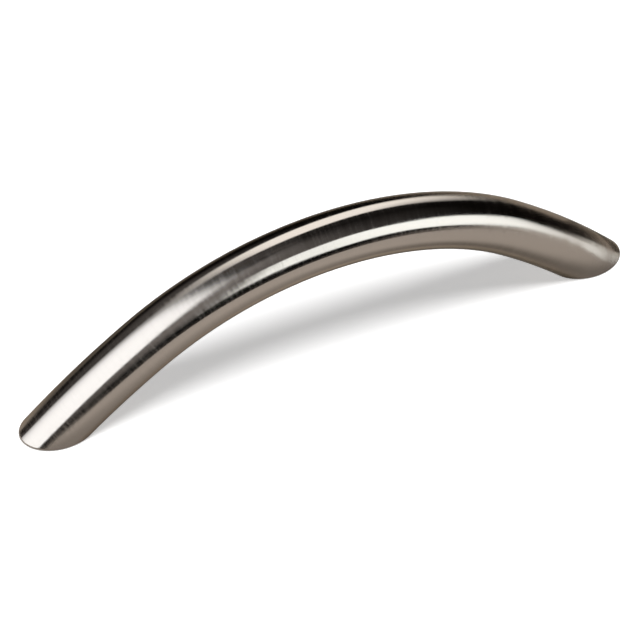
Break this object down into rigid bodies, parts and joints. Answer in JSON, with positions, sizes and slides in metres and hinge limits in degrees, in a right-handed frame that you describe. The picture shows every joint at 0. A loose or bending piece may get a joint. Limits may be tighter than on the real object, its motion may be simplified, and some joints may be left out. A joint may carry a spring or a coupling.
{
  "type": "bow handle",
  "caption": "Round bar bent to a bow, with flat feet tapped from behind, for a cabinet door or drawer, in brushed nickel.",
  "frame": {"origin": "on the door's face, midway between the two feet", "axes": "+X along the handle from foot to foot, +Y across the bar, +Z away from the door"},
  "size_m": [0.1158, 0.01, 0.0309],
  "materials": {
    "brushed_nickel": "nickel plate over steel bar, brushed round the bar to a satin finish"
  },
  "bodies": {
    "root": {"bow_handle": "brushed_nickel"}
  },
  "joints": []
}
